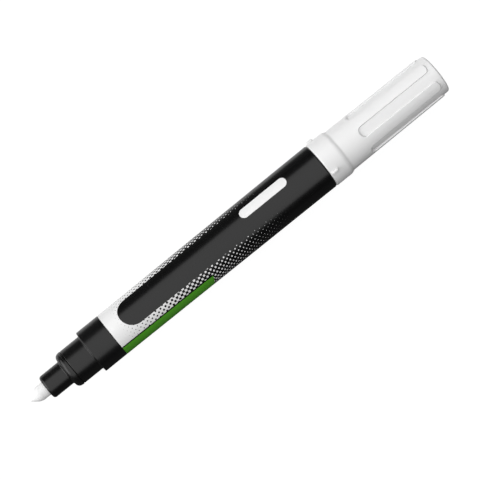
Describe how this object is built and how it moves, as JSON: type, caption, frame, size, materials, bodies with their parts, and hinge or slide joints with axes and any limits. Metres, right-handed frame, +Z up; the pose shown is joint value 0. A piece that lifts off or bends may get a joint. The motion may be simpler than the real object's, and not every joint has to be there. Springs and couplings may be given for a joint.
{
  "type": "permanent marker",
  "caption": "Bullet-nib permanent marker, uncapped, with its ribbed white cap posted on the tail of a black printed barrel.",
  "frame": {"origin": "bottom centre of the bounding box: on the surface the marker lies on, midway between nib tip and cap end", "axes": "+X along the marker's axis from the nib to the cap's end, +Z up with the marker lying on its side"},
  "size_m": [0.1606, 0.0164, 0.0157],
  "materials": {
    "felt": "porous polyester nib, matt white",
    "black_plastic": "satin gloss moulded black",
    "printed_barrel": "glossy printed sleeve in black, white and green",
    "white_plastic": "soft satin moulded white",
    "clear_plastic": "milky natural polypropylene",
    "rubber": "matt dark grey",
    "steel": "bright stainless steel"
  },
  "bodies": {
    "pen": {"barrel": "printed_barrel", "tail_plug": "black_plastic", "front_section": "black_plastic", "nib_holder": "black_plastic", "valve_body": "clear_plastic", "valve_retainer": "clear_plastic", "valve_spring": "steel"},
    "writing_valve": {"nib": "felt", "valve_plunger": "clear_plastic", "valve_seal": "rubber"},
    "cap": {"cap_shell": "white_plastic", "cap_liner": "clear_plastic"},
    "ball_1": {"mixing_ball_1": "steel"},
    "ball_2": {"mixing_ball_2": "steel"}
  },
  "joints": [
    {"name": "cap_slide", "type": "slide", "parent": "pen", "child": "cap", "axis": [1, 0, 0], "range_m": [0, 0.03]},
    {"name": "nib_press", "type": "slide", "parent": "pen", "child": "writing_valve", "axis": [1, 0, 0], "range_m": [0, 0.0015], "stiffness_N_per_m": 400, "springref_m": -0.002, "deforming": ["valve_spring"]},
    {"name": "ball_1_roll", "type": "slide", "parent": "pen", "child": "ball_1", "axis": [1, 0, 0], "range_m": [-0.028, 0.028]},
    {"name": "ball_2_roll", "type": "slide", "parent": "pen", "child": "ball_2", "axis": [1, 0, 0], "range_m": [-0.028, 0.028]}
  ],
  "couplings": [
    {"joint": "ball_2_roll", "follows": "ball_1_roll", "ratio": 1}
  ]
}
